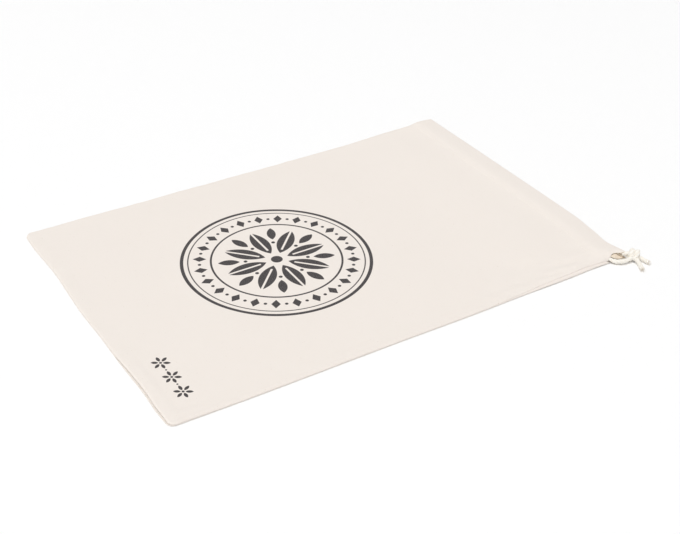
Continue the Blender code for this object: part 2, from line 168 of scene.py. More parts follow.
# How far the near seam is lifted off the table, by distance from the mouth
SEAM_LIFT = in_mm(
    Row, (14, 0.5), (28, 1.5), (44, 1.9), (70, 1.9), (96, 1.4), (124, 0.6), (152, 0.1),
    (175, 0.0)
)

# How far the closed end steps in, by distance from the near side
CLOSED_DRAW = in_mm(
    Row, (0, 0.8), (24, 0.2), (46, 0.9), (90, 0.0), (126, 0.1), (164, -0.7), (190, 0.0),
    (230, 1.4), (275, -0.2), (301, 0.4)
)

# The front panel's closed edge lies a little further in than the back panel's
FRONT_CLOSED_EXTRA = in_mm(Row, (0, 0.9), (12, 1.5), (70, 1.5), (100, 0.5), (301, 0.4))

# Creases of the front panel from place to place in X and Y, sunk where below zero
FOLDS = in_mm(
    Fold,
    (137, -129, 190, -141, 6.5, -1.3),
    (104, -121, 150, -115, 11, -0.7),
    (196, -125, 216, -122, 4.5, -0.45),
    (200, -97, 221, -97, 4.5, -0.4),
    (176, -60, 214, -48, 9, -0.6),
    (170, 42, 214, 52, 10, -0.6),
    (-214, 12, -211, 70, 6, -0.4),
)

# Finer creases, which the solids leave out
FINE_FOLDS = in_mm(
    Fold,
    (168, -126, 207, -137, 3.2, 0.4),
    (182, -118, 212, -131, 2.8, -0.35),
    (188, -108, 214, -114, 3.0, 0.25),
    (186, -80, 208, -84, 3.6, -0.2),
    (190, -20, 210, -16, 4.0, -0.2),
    (188, 14, 210, 19, 4.0, -0.22),
    (188, 88, 210, 84, 4.4, -0.25),
    (186, 122, 212, 127, 4.0, -0.25),
    (-6, -146, 26, -132, 4.0, -0.2),
    (-216, -58, -204, -20, 4.0, -0.22),
    (120, -136.6, 170, -146.4, 3.8, -1.1),
    (102, -134.6, 127, -142, 3.2, -0.7),
    (68, -129, 91, -154, 3.8, 0.55),
    (180, -124, 214, -125, 3.2, -0.45),
)

# Broad soft rises of the front panel
SWELLS = in_mm(
    Swell,
    (150, -90, 62, 46, 1.0),
    (156, 84, 70, 52, 0.9),
    (38, -98, 80, 40, 0.6),
    (-60, 96, 90, 44, 0.6),
    (-142, -72, 64, 60, 0.5),
    (-176, 80, 40, 52, 0.6),
)

# Unevenness of cloth that has been handled, and the pucker of its sewn edges
RIPPLES = [Ripple(70 * MM, 0.28 * MM), Ripple(24 * MM, 0.1 * MM), Ripple(9 * MM, 0.035 * MM)]
RIPPLE_FADE = 14 * MM
PUCKER = Ripple(8 * MM, 0.3 * MM)
PUCKER_REACH = 9 * MM
PUCKER_SEED = 3.0
PUCKER_SIDEWAYS = 0.35

# How closely the cloth's columns and rows are set
COLUMN_PITCH = 3.2 * MM
CASING_PITCH = 1.25 * MM
ROW_PITCH = 3.0 * MM
NEAR_CORNER = 60 * MM
CORNER_PITCH = 1.8 * MM
HEM_ROW_PITCH = 1.5 * MM
RIM_STATIONS = [mm * MM for mm in (0, 0.12, 0.3, 0.55, 0.9, 1.3, 2.0, 2.9, 4.0, 5.4, 7.0, 8.5)]
NOSE_STEPS = 12
FOLD_STEPS = 8

# The cord: its strands, how finely it is drawn, and its turn at the far seam
TWIST_PITCH = 13 * MM
STRANDS = 3
STRAND_GROOVE = 0.84
CORD_SIDES = 24
FREE_STEP = 0.7 * MM
HELD_STEP = 2.0 * MM
WELD_REACH = 0.002 * MM
TURN_STEPS = 14
TURN_CLEAR = 0.6 * MM

# The knot: its place, and how its turns of cord run round its core
KNOT_CENTRE = Vector((226.9, -154.2, 5.4)) * MM
KNOT_AXIS = Vector((0.75, -0.66, 0.0)).normalized()
WRAP_RADIUS = 2.7 * MM
WRAP_END_RADIUS = 0.9 * MM
WRAP_ADVANCE = 4.6 * MM
WRAP_TURNS = 1.95
WRAP_TAPER = 0.2
WRAP_START = math.radians(200)
WRAP_STEPS = 64
WRAP_TWIST = 0.9
WRAP_THIN = 0.7
WRAP_GROWTH = 0.9
WRAP_THINNING = 0.14

# The free cords' routes, close to those of their solids: out of the casings, up to the
# knot, and on to the tails' tips
CASING_LIP = 8 * MM
FRONT_CORD_EXIT = FRONT_CORD_BACK
BACK_CORD_EXIT = 16.2 * MM
EXIT_NEARS = (CASING_LIP, 4.5 * MM, 1.2 * MM)
FRONT_END_ROUTE = [Vector((221.6, -150.7, 5.6)) * MM]
BACK_END_ROUTE = route_mm(
    (207.2, -152.0, 3.1), (210.0, -154.6, 3.2), (213.8, -156.4, 3.3), (218.2, -156.8, 3.6)
)
FRONT_TAIL_ROUTE = route_mm(
    (226.6, -153.9, 6.0), (229.8, -158.2, 3.7), (232.0, -162.8, 2.2), (233.2, -167.2, 2.15)
)
BACK_TAIL_ROUTE = route_mm(
    (222.6, -157.0, 3.9), (225.3, -159.8, 3.7), (224.9, -164.0, 2.4), (223.1, -168.2, 2.15),
    (221.0, -172.4, 2.15)
)

# How a free cord's radius grows, by the share of its length
LOOSE_START = 0.15
LOOSE_BLEND = 0.1
TIP_START = 0.86
TIP_BLEND = 0.14
TIP_SWELL = 0.1

# The fray at a tail's cut end: its fibres, and how unevenly they spread
FRAY_COUNT = 30
FRAY_LENGTH = 3.2 * MM
FRAY_THREAD = 0.13 * MM
FRAY_SIDES = 5
FRAY_TAPER = 0.3
FRAY_DEPTH = 0.6 * MM
FRAY_DROOP = 0.4 * MM
FRAY_ROOTS = 0.42
FRAY_UNEVEN = 0.45
FRAY_SPREAD = 0.32
FRAY_STRAY = 0.22
JITTER_STEP = 0.73
JITTER_START = 0.37
JITTER_PLACES = (0.41, 7.71, 15.01)
GOLDEN_ANGLE = math.pi * (3 - math.sqrt(5))

# The stitches that hold the hem
STITCH_BACK = 25.6 * MM
STITCH_INSET = 10 * MM
STITCH_PITCH = 3.2 * MM
STITCH_LENGTH = 2.5 * MM
STITCH_THREAD = 0.16 * MM
STITCH_SIDES = 8
STITCH_RINGS = 6

# The round print: its centre by distance from the near seam and from the mouth, and its
# rings, dots and motifs by distance from that centre
INK_EDGE = 0.25 * MM
PRINT_NEAR = 152 * MM
PRINT_BACK = 272.2 * MM
RINGS = in_mm(Row, (83, 3), (77.6, 1.1), (57.6, 1.8))
PETALS = 8
PETAL = Motif(29.5 * MM, 19 * MM, 7.4 * MM)
VEIN_START = 16 * MM
VEIN_HALF_WIDTH = 0.95 * MM
BUD = Motif(42 * MM, 9.5 * MM, 4.0 * MM)
BUD_DOT = Row(27.5 * MM, 1.7 * MM)
BAND_PARTS = 24
LOZENGE = Motif(67.6 * MM, 6.0 * MM, 4.0 * MM)
BAND_DOT = Row(67.6 * MM, 1.5 * MM)
CENTRE_DOT = Row(0.0, 5.2 * MM)

# The row of flowers in the corner, measured in the same way
CORNER_PRINT_NEAR = 50.5 * MM
CORNER_PRINT_BACK = 421.5 * MM
FLOWER_PITCH = 20 * MM
FLOWER_PETALS = 6
FLOWER_PETAL = Motif(4.9 * MM, 3.1 * MM, 1.45 * MM)
FLOWER_DOT = Row(0.0, 1.2 * MM)
BETWEEN_DOT = Row(0.0, 0.85 * MM)

# What all finishes share, and the numbers of a mix node's colour sockets
SPECULAR = 0.2
SHEEN = 0.08
SHEEN_ROUGHNESS = 0.6
FIRST_COLOUR, SECOND_COLOUR, MIXED_COLOUR = 6, 7, 2

# Cloth: its weave, slubs, mottle, seed flecks and ink, and the painted shade in the weave's
# dips
WEAVE_PITCH = 0.75 * MM
CLOTH_ROUGHNESS = 0.92
SLUB_STRETCH = (90.0, 1400.0, 1.0)
CROSS_SLUB_STRETCH = (1400.0, 110.0, 1.0)
SLUB_TONE = 0.1
MOTTLE_SCALE = 22.0
MOTTLE_DETAIL = 3.0
MOTTLE_TONE = 0.1
WEAVE_PAINTED_SHADE = 0.1
MIDDLE_TONE = 0.45
WEAVE_DIP = 0.25
FLECK_SCALE = 900.0
FLECK_START = 0.77
FLECK_EDGE = 0.03
FLECK_SHARE = 0.45
WEAR_SCALE = 1500.0
WEAR_SHARE = 0.5
LEAST_INK = 0.72
INK_SMOOTHING = 0.1
SLUB_RELIEF = 0.6
WEAVE_BUMP = 0.1 * MM
WEAVE_STRENGTH = 0.6

# Cord and thread: their yarns and fuzz, and the painted shade in the cord's grooves and
# between its yarns
YARNS = 9
YARN_PITCH = 2.4 * MM
CORD_ROUGHNESS = 0.9
FUZZ_STRETCH = (9.0, 1500.0, 1.0)
FUZZ_DETAIL = 3.0
FUZZ_TONE = 0.3
GROOVE_PAINTED_SHADE = 0.22
YARN_PAINTED_SHADE = 0.08
YARN_RELIEF = 0.5
CORD_TONE = 0.62
YARN_BUMP = 0.12 * MM
YARN_STRENGTH = 0.7
THREAD_ROUGHNESS = 0.85
THREAD_SCALE = 700.0
THREAD_BUMP = 0.05 * MM
THREAD_STRENGTH = 0.5

# Colours, the painted warm light inside the mouth, and the light that comes through
CLOTH_LIGHT = (0.92, 0.855, 0.80)
CLOTH_SHADE = (0.83, 0.76, 0.695)
# Painted warm light: the amber tone given to the inside and hem by the mouth, its share, reach
# and soft edge
PAINTED_WARM_LIGHT_TONE = (0.94, 0.80, 0.64)
PAINTED_WARM_LIGHT_SHARE = 0.85
PAINTED_WARM_LIGHT_REACH = 40 * MM
PAINTED_WARM_LIGHT_BLEND = 4 * MM
FLECK_COLOUR = (0.42, 0.31, 0.2)
INK = (0.04, 0.035, 0.038)
CORD_LIGHT = (0.97, 0.93, 0.87)
CORD_SHADE = (0.90, 0.83, 0.73)
THROUGH_LIGHT = 0.2
CORD_THROUGH = 0.4
INSIDE_THROUGH = 0.85
THROUGH_DEPTH = 0.8 * MM

# Floor, light and camera
FLOOR = (0.98, 0.98, 0.98)
FLOOR_ROUGHNESS = 0.9
FLOOR_SIZE = 8.0
FLOOR_GAP = 0.05 * MM
SURROUND = (1.0, 1.0, 1.0)
SURROUND_LEVEL = 0.55
LAMP_PLACE = Vector((-4.6, -2.6, 13.2))
LAMP_SIZE = 8.0
LAMP_POWER = 1140.0
CAMERA_LENS = 63.54
CAMERA_SENSOR = 36.0
CAMERA_PLACE = Vector((-0.4764, -0.7663, 0.5834))
CAMERA_YAW = math.radians(-32.77)
CAMERA_PITCH = math.radians(33.818)
CAMERA_ROLL = math.radians(1.462)


def ease(t):
    """Rise smoothly from 0 to 1 as t goes from 0 to 1."""
    t = min(max(t, 0.0), 1.0)
    return t * t * (3 - 2 * t)


def mound(t):
    """A smooth bump: 1 at t = 0, and 0 from t = 1 on either side."""
    return 0.5 * (1 + math.cos(math.pi * t)) if abs(t) < 1 else 0.0


def roll(t):
    """A quarter round: 0 and upright at an edge where t = 0, and level from t = 1."""
    t = max(t, 0.0)
    return math.sqrt(1 - (1 - t) ** 2) if t < 1 else 1.0


def slope_at(rows, i):
    """Slope of a table's smooth curve at row i, level at its two ends."""
    if i in (0, len(rows) - 1):
        return 0.0
    before, after = rows[i - 1], rows[i + 1]
    return (after.size - before.size) / (after.place - before.place)


def read_at(rows, place):
    """Read a table at a place, on a smooth curve through its rows."""
    if place <= rows[0].place:
        return rows[0].size
    for i, (low, high) in enumerate(zip(rows, rows[1:])):
        if place <= high.place:
            span = high.place - low.place
            t = (place - low.place) / span
            size = low.size + (high.size - low.size) * ease(t)
            size += slope_at(rows, i) * span * t * (1 - t) ** 2
            return size - slope_at(rows, i + 1) * span * t**2 * (1 - t)
    return rows[-1].size


def ripple(kind, x, y, seed=0.0):
    """Smooth unevenness of about a ripple's height either way."""
    return kind.height * noise.noise(Vector((x / kind.spacing, y / kind.spacing, seed)))


def fold_height(x, y):
    """Height that creases, swells and handling add to the front panel at X and Y."""
    height = 0.0
    for fold in FOLDS + FINE_FOLDS:
        run = Vector((fold.end_x - fold.start_x, fold.end_y - fold.start_y))
        reach = Vector((x - fold.start_x, y - fold.start_y))
        along = reach.dot(run) / run.length_squared
        across = abs(run.cross(reach)) / run.length
        height += fold.height * mound(across / fold.half_width) * mound(2 * along - 1)
    for swell in SWELLS:
        distance = math.hypot((x - swell.x) / swell.reach_x, (y - swell.y) / swell.reach_y)
        height += swell.height * mound(distance)
    return height


def laid_xy(back, near, front=False):
    """Place of a point of the cloth on the table, drawn in at the mouth and sides."""
    near_draw = read_at(NEAR_DRAW, back)
    draw = read_at(CLOSED_DRAW, near)
    if front:
        near_draw += read_at(SEAM_DRAW, back)
        draw += read_at(FRONT_CLOSED_EXTRA, near)
    side = min(near, WIDTH - near)
    cut = max(CORNER_RADIUS - side, 0.0)
    draw += CORNER_RADIUS - math.sqrt(CORNER_RADIUS**2 - cut**2)
    across = near + near_draw * (1 - ease(near / NEAR_DRAW_FADE))
    mouth = read_at(MOUTH_DRAW, across) * (1 - ease((back - HEM_DEPTH) / MOUTH_DRAW_FADE))
    closing = 1 - ease((LENGTH - back) / CLOSED_DRAW_FADE)
    return LENGTH / 2 - back - mouth + draw * closing, across - WIDTH / 2


def sewn_share(back):
    """Share of the near side that is sewn: none in the casing, all of it behind."""
    return ease((back - SEAM_STOP) / SEAM_BLEND)


def rim_roll(edge, sewn, over=0.0):
    """Roll an edge round to its seam, which lies over the edge by the given distance.

    Gives the point's new distance in and its share of the height."""
    radius = RIM_ROLL + RIM_SPREAD * over
    if edge >= radius:
        return edge, 1.0
    full = math.pi - math.asin(1 - (RIM_INSET + over) / radius)
    turn = full * (1 - edge / radius)
    inset = radius * (1 - math.sin(turn))
    share = (math.cos(turn) - math.cos(full)) / (1 - math.cos(full))
    return edge + (inset - edge) * sewn, 1 + (share - 1) * sewn


def seam_height(back, near):
    """Height of the seams that join the panels, lifted on the near side by the mouth."""
    return SEAM_Z + read_at(SEAM_LIFT, back) * (1 - ease(near / EDGE_ROLL))


def seamed(back, near, over=0.0):
    """A point's place once the cloth's edges are rolled, and its share of the height."""
    near_in, near_share = rim_roll(near, sewn_share(back), over)
    far_in, far_share = rim_roll(WIDTH - near, 1)
    end_in, end_share = rim_roll(LENGTH - back, 1)
    laid_near = near_in if near < WIDTH / 2 else WIDTH - far_in
    return LENGTH - end_in, laid_near, min(near_share, far_share, end_share)


def casing_layer(back, across, layers):
    """Height of a hem layer that is the given number of layers above the back's hem."""
    t = (back - BACK_CORD_BACK) / CASING_FLANK
    slope = 0.0
    if abs(t) < 1:
        slope = CASING_RISE * math.pi / (2 * CASING_FLANK) * math.sin(math.pi * t)
    spread = LAYER_STEP * math.sqrt(1 + slope**2)
    corner = CORNER_RISE.height * mound((back - CORNER_RISE.x) / CORNER_RISE.reach_x)
    corner *= mound((across - CORNER_RISE.y) / CORNER_RISE.reach_y)
    return BACK_HEM_Z + CASING_RISE * mound(t) + corner + layers * spread


def sag(back, near):
    """Share of its sag that an open edge has: most at the edge, none where it is sewn."""
    shown = ease((back - SAG_START) / SAG_BLEND) * (1 - sewn_share(back))
    return (1 - ease(near / SAG_REACH)) * shown


def cover_height(back, near):
    """Height of the front panel's outer run, before it rolls down to its seams."""
    if back < BACK_CORD_BACK:
        return read_at(CASING_TOP, back)
    x, y = laid_xy(back, near, True)
    shown = ease((back - BACK_CORD_BACK) / CASING_FLANK)
    height = read_at(COVER_RISE, back) + fold_height(x, y) * shown
    inside = ease(min(near, WIDTH - near, LENGTH - back) / RIPPLE_FADE)
    height += sum(ripple(kind, x, y) for kind in RIPPLES) * inside * shown
    return FRONT_Z + max(height, 0.0)


def hem_height(back, near):
    """Height of the front panel's hem: between the cords, then close under its cover."""
    if back < BACK_CORD_BACK:
        return casing_layer(back, laid_xy(back, near, True)[1] + WIDTH / 2, 1)
    return cover_height(back, near) - LAYER_STEP


def seam_relief(back, near):
    """Rise of the front panel over the seam allowances that lie inside the edges."""
    edge = min(near, WIDTH - near, LENGTH - back)
    band = 1 - ease((edge - SEAM_ALLOWANCE) / ALLOWANCE_EDGE)
    place = Vector((back / RELIEF_SPACING, near / RELIEF_SPACING, RELIEF_SEED))
    shown = RELIEF_MEAN + RELIEF_SPREAD * noise.noise(place)
    shown = min(max(shown, RELIEF_LEAST), 1.0)
    return SEAM_RELIEF * shown * band * ease((back - HEM_DEPTH) / CASING_FLANK)


def closed_height(height, back, near):
    """Bring a height of the front panel down to the seams at its two sides."""
    sewn = sewn_share(back)
    pinch = 1 - ease((back - PINCH_START) / PINCH_FADE)
    near_roll = EDGE_ROLL + (PINCH_ROLL - EDGE_ROLL) * pinch
    near_share = 1 - sewn + sewn * roll(near / near_roll)
    far_share = roll((WIDTH - near) / EDGE_ROLL)
    return FRONT_Z + (height - FRONT_Z) * min(near_share, far_share)


def tucked(back, near, tuck):
    """Draw a turned layer's rows in from the sides, by the share of its turn."""
    near_inset = OPEN_TUCK + (NEAR_TUCK - OPEN_TUCK) * sewn_share(back)
    near_share = max(1 - near / TUCK_FADE, 0.0)
    far_share = max(1 - (WIDTH - near) / TUCK_FADE, 0.0)
    return near + tuck * (near_inset * near_share - FAR_TUCK * far_share)


def puckered(point, back, near):
    """Add the small waves that sewing leaves along the side seams and the closed end."""
    edge = min(near, WIDTH - near, LENGTH - back)
    share = (1 - ease(edge / PUCKER_REACH)) * sewn_share(back - PUCKER_REACH)
    wave = ripple(PUCKER, back, near, PUCKER_SEED) * share
    sideways = PUCKER_SIDEWAYS if edge == near else 0.0
    return point + Vector((0.0, sideways, 1.0)) * wave


def front_point(column, near):
    """Middle surface of the front panel at a column and a distance from the near side."""
    run, value = column
    if run == "outer":
        seam = seam_height(value, near) + SEAM_PARTING
        height = closed_height(cover_height(value, near), value, near)
        height = max(height + seam_relief(value, near), seam + SEAM_STEP)
        height -= LIP_SAG * sag(value, near)
        back, laid_near, share = seamed(value, near)
        x, y = laid_xy(back, laid_near, True)
        return puckered(Vector((x, y, seam + (height - seam) * share)), value, near)
    if run == "turn":
        seam = SEAM_Z + SEAM_PARTING
        back = FRONT_CORD_BACK - NOSE_WRAP * math.cos(value)
        height = FRONT_CORD_Z + NOSE_WRAP * math.sin(value)
        turned = NOSE_TUCK - (1 - NOSE_TUCK) * math.sin(value)
        outer = (1 + math.sin(value)) / 2
        far_in, share = rim_roll(WIDTH - near, outer)
        near = tucked(back, min(near, WIDTH - far_in), max(turned, 0.0))
        height = seam + (closed_height(height, back, near) - seam) * share
    else:
        back = value
        near = tucked(back + EARLY_TUCK, near, 1)
        height = closed_height(hem_height(back, near), back, near)
    x, y = laid_xy(back, near, True)
    return Vector((x, y, height))


def back_point(column, near):
    """Middle surface of the back panel at a column and a distance from the near side."""
    run, value = column
    if run == "outer":
        seam = seam_height(value, near) - SEAM_PARTING
        back, laid_near, share = seamed(value, near, read_at(SEAM_DRAW, value))
        x, y = laid_xy(back, laid_near)
        return Vector((x, y, seam + (BACK_Z - seam) * share))
    if run == "turn":
        radius = (BACK_HEM_Z - BACK_Z) / 2
        back = CLOTH / 2 + radius * (1 - math.cos(value))
        height = BACK_Z + radius * (1 + math.sin(value))
        near = tucked(back, near, max(math.sin(value), 0.0))
    else:
        sagging = HEM_SAG * sag(value, near) * (1 - ease((value - HEM_SAG_END) / SAG_BLEND))
        back, near = value, tucked(value, near, 1)
        height = casing_layer(back, laid_xy(back, near)[1] + WIDTH / 2, 0) - sagging
    x, y = laid_xy(back, near)
    return Vector((x, y, height))


def spaced(start, end, pitch):
    """Even stations from one place up to another, which isn't included."""
    count = max(round((end - start) / pitch), 1)
    return [start + (end - start) * i / count for i in range(count)]


def panel_columns(outer, turn, hem_start):
    """A panel's columns, from its closed end round the mouth to its hem's end."""
    outer = outer + [LENGTH - place for place in reversed(RIM_STATIONS)]
    hem = spaced(hem_start, HEM_DEPTH, HEM_ROW_PITCH) + [HEM_DEPTH]
    columns = [("outer", back) for back in reversed(outer)]
    columns += [("turn", angle) for angle in turn]
    return columns + [("hem", back) for back in hem]


def front_columns():
    """Columns of the front panel, which turns down round its cord."""
    outer = spaced(FRONT_CORD_BACK, HEM_DEPTH + CASING_FLANK, CASING_PITCH)
    outer += spaced(HEM_DEPTH + CASING_FLANK, LENGTH - RIM_STATIONS[-1], COLUMN_PITCH)
    turn = [math.pi / 2 - math.pi * i / NOSE_STEPS for i in range(1, NOSE_STEPS + 1)]
    return panel_columns(outer, turn, FRONT_CORD_BACK + CASING_PITCH)


def back_columns():
    """Columns of the back panel, which turns up at the mouth."""
    turn_back = CLOTH / 2 + (BACK_HEM_Z - BACK_Z) / 2
    outer = spaced(turn_back, HEM_DEPTH, 2 * COLUMN_PITCH)
    outer += spaced(HEM_DEPTH, LENGTH - RIM_STATIONS[-1], 2 * COLUMN_PITCH)
    turn = [-math.pi / 2 + math.pi * i / FOLD_STEPS for i in range(1, FOLD_STEPS + 1)]
    return panel_columns(outer, turn, turn_back + CASING_PITCH)


def cloth_rows():
    """Rows of a panel from the near seam to the far one, closer together at both."""
    near_side = RIM_STATIONS + spaced(RIM_STATIONS[-1], NEAR_CORNER, CORNER_PITCH)[1:]
    middle = spaced(NEAR_CORNER, WIDTH - RIM_STATIONS[-1], ROW_PITCH)
    return near_side + middle + [WIDTH - place for place in reversed(RIM_STATIONS)]


def cloth_run(column):
    """Distance of a column along the cloth itself, back from where the mouth turns."""
    run, value = column
    if run == "outer":
        return value
    if run == "turn":
        return FRONT_CORD_BACK - abs(math.pi / 2 - value) * NOSE_WRAP
    return FRONT_CORD_BACK - math.pi * NOSE_WRAP - value


def laid_grid(columns, rows, point, uv):
    """A grid with its vertices laid by a function of column and row, and its UV map."""
    sheet = bmesh.new()
    bmesh.ops.create_grid(
        sheet, x_segments=len(columns) - 1, y_segments=len(rows) - 1, size=1.0
    )
    cells = {}
    for vertex in sheet.verts:
        column = round((vertex.co.x + 1) / 2 * (len(columns) - 1))
        row = round((vertex.co.y + 1) / 2 * (len(rows) - 1))
        cells[vertex] = (columns[column], rows[row])
    layer = sheet.loops.layers.uv.new("UVMap")
    for face in sheet.faces:
        for loop in face.loops:
            loop[layer].uv = uv(*cells[loop.vert])
    for vertex, cell in cells.items():
        vertex.co = point(*cell)
    return sheet


def add_piece(name, shape, finishes):
    """Make a bmesh a smooth piece of the bag with its finishes, riding on the bag."""
    mesh = bpy.data.meshes.new(name)
    shape.to_mesh(mesh)
    shape.free()
    mesh.shade_smooth()
    for finish in finishes:
        mesh.materials.append(finish)
    piece = bpy.data.objects.new(name, mesh)
    bpy.context.scene.collection.objects.link(piece)
    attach(piece, "root")
    return piece


def add_cloth(name, columns, point, finishes):
    """Lay a panel's cloth and thicken it, its under face and rim in the last finish."""
    sheet = laid_grid(columns, cloth_rows(), point, lambda c, near: (near, cloth_run(c)))
    cloth = add_piece(name, sheet, finishes)
    solidify = cloth.modifiers.new("Cloth thickness", "SOLIDIFY")
    solidify.thickness = CLOTH
    solidify.offset = 0.0
    solidify.material_offset = len(finishes) - 1
    solidify.material_offset_rim = len(finishes) - 1
    return cloth


def smooth_route(points, step):
    """Points a step apart on a smooth curve through the route's own points."""
    route = []
    ends = [2 * points[0] - points[1]] + points + [2 * points[-1] - points[-2]]
    for before, start, end, after in zip(ends, ends[1:], ends[2:], ends[3:]):
        count = max(round((end - start).length / step), 1)
        for i in range(count):
            t = i / count
            pull = (end - before) * t + (2 * before - 5 * start + 4 * end - after) * t**2
            pull += (3 * start - before - 3 * end + after) * t**3
            route.append(start + pull / 2)
    return route + [points[-1]]


def run_lengths(route):
    """How far along a route each of its points lies."""
    lengths = [0.0]
    for start, end in zip(route, route[1:]):
        lengths.append(lengths[-1] + (end - start).length)
    return lengths


def strand_radius(angle):
    """Radius of a cord laid up from three strands, at an angle round it."""
    off = (angle + math.pi / STRANDS) % (2 * math.pi / STRANDS) - math.pi / STRANDS
    strand = CORD / 2 / (1 + 1 / math.sin(math.pi / STRANDS))
    centre = CORD / 2 - strand
    inside = max(strand**2 - (centre * math.sin(off)) ** 2, 0.0)
    return max(centre * math.cos(off) + math.sqrt(inside), STRAND_GROOVE * CORD / 2)


def ring_frames(route):
    """A pair of directions across a route at each point, turned no more than it turns."""
    frames = []
    across = None
    for i, place in enumerate(route):
        along = (route[min(i + 1, len(route) - 1)] - route[max(i - 1, 0)]).normalized()
        if across is None:
            across = along.orthogonal()
        across = (across - along * across.dot(along)).normalized()
        frames.append((across, along.cross(across)))
    return frames


def even(share):
    """A cord's radius where nothing thins or loosens it."""
    return 1.0


def loosened(share):
    """A free cord's radius along it: as held in its casing, then looser, to its cut end."""
    looser = (FREE_CORD / CORD - 1) * ease((share - LOOSE_START) / LOOSE_BLEND)
    return 1 + looser + TIP_SWELL * ease((share - TIP_START) / TIP_BLEND)


def wrap_swell(share):
    """The radius of the knot's turns, which thin where they go into its core."""
    return WRAP_THIN + WRAP_GROWTH * ease(min(share, 1 - share) / WRAP_THINNING)


def swept_cord(route, swell, twist_start=0.0):
    """A twisted cord along a route, its radius scaled at each point by swell(share)."""
    lengths = run_lengths(route)
    frames = ring_frames(route)

    def point(i, side):
        angle = 2 * math.pi * side / CORD_SIDES
        turned = twist_start + 2 * math.pi * lengths[i] / TWIST_PITCH
        radius = strand_radius(angle - turned) * swell(lengths[i] / lengths[-1])
        across, over = frames[i]
        return route[i] + (across * math.cos(angle) + over * math.sin(angle)) * radius

    def uv(i, side):
        turned = twist_start / (2 * math.pi) + lengths[i] / TWIST_PITCH
        return side / CORD_SIDES - turned, lengths[i]

    tube = laid_grid(range(len(route)), range(CORD_SIDES + 1), point, uv)
    bmesh.ops.remove_doubles(tube, verts=tube.verts, dist=WELD_REACH)
    bmesh.ops.holes_fill(tube, edges=[e for e in tube.edges if e.is_boundary], sides=0)
    bmesh.ops.recalc_face_normals(tube, faces=tube.faces)
    return tube


def casing_line(back, near, height):
    """A point of a cord that runs along its casing."""
    x, y = laid_xy(back, near)
    return Vector((x, y, height))


def held_route():
    """The cord's held run: along the front casing, round at the far seam, and back."""
    radius = (BACK_CORD_BACK - FRONT_CORD_BACK) / 2
    turn_at = WIDTH - radius - CORD - TURN_CLEAR
    middle = (BACK_CORD_BACK + FRONT_CORD_BACK) / 2
    nears = spaced(CASING_LIP, turn_at, HELD_STEP) + [turn_at]
    route = [casing_line(FRONT_CORD_BACK, near, FRONT_CORD_Z) for near in nears]
    for i in range(1, TURN_STEPS):
        angle = math.pi * i / TURN_STEPS
        height = FRONT_CORD_Z + (BACK_CORD_Z - FRONT_CORD_Z) * ease(i / TURN_STEPS)
        back = middle - radius * math.cos(angle)
        route.append(casing_line(back, turn_at + radius * math.sin(angle), height))
    route += [casing_line(BACK_CORD_BACK, near, BACK_CORD_Z) for near in reversed(nears)]
    return route


def free_route(back, exit_back, height, end_route, tail_route):
    """A free cord's route: out of its casing, through the knot, to its tail's tip."""
    start = []
    for near in EXIT_NEARS:
        place = exit_back + (back - exit_back) * near / CASING_LIP
        start.append(casing_line(place, near, height))
    return smooth_route(start + end_route + tail_route, FREE_STEP)


def wrap_route():
    """The knot's own turns of cord, side by side round its core, their ends drawn in."""
    side = KNOT_AXIS.cross(Vector((0.0, 0.0, 1.0)))
    route = []
    for i in range(WRAP_STEPS + 1):
        t = i / WRAP_STEPS
        angle = WRAP_START + 2 * math.pi * WRAP_TURNS * t
        ends = 1 - ease(min(t, 1 - t) * WRAP_TURNS / WRAP_TAPER)
        radius = WRAP_RADIUS - (WRAP_RADIUS - WRAP_END_RADIUS) * ends
        place = KNOT_CENTRE + KNOT_AXIS * (WRAP_ADVANCE * WRAP_TURNS * (t - 0.5))
        place = place + side * (radius * math.cos(angle))
        route.append(place + Vector((0.0, 0.0, radius * math.sin(angle))))
    return route


def add_stitches(finish):
    """The row of stitches that holds the mouth's hem, in thread of the cloth's colour."""
    row = bmesh.new()
    count = round((WIDTH - 2 * STITCH_INSET) / STITCH_PITCH)
    for i in range(count):
        near = STITCH_INSET + (i + 0.5) * (WIDTH - 2 * STITCH_INSET) / count
        start = front_point(("outer", STITCH_BACK), near - STITCH_LENGTH / 2)
        end = front_point(("outer", STITCH_BACK), near + STITCH_LENGTH / 2)
        along = (end - start).normalized()
        behind = front_point(("outer", STITCH_BACK + MM), near)
        up = along.cross(front_point(("outer", STITCH_BACK), near) - behind)
        up = up.normalized() if up.z > 0 else -up.normalized()
        made = bmesh.ops.create_uvsphere(
            row, u_segments=STITCH_SIDES, v_segments=STITCH_RINGS, radius=1.0
        )
        turn = Matrix((up.cross(along), up, along)).transposed().to_4x4()
        size = Matrix.Diagonal((STITCH_THREAD, STITCH_THREAD, STITCH_LENGTH / 2, 1.0))
        place = Matrix.Translation((start + end) / 2 + up * (CLOTH / 2))
        bmesh.ops.transform(row, matrix=place @ turn @ size, verts=made["verts"])
    add_piece("casing_stitches", row, [finish])


def jitter_at(i, seed):
    """A small push that differs from fibre to fibre, and is the same in each run."""
    step, start = i * JITTER_STEP, seed + JITTER_START
    return Vector([noise.noise(Vector((step, start, place))) for place in JITTER_PLACES])


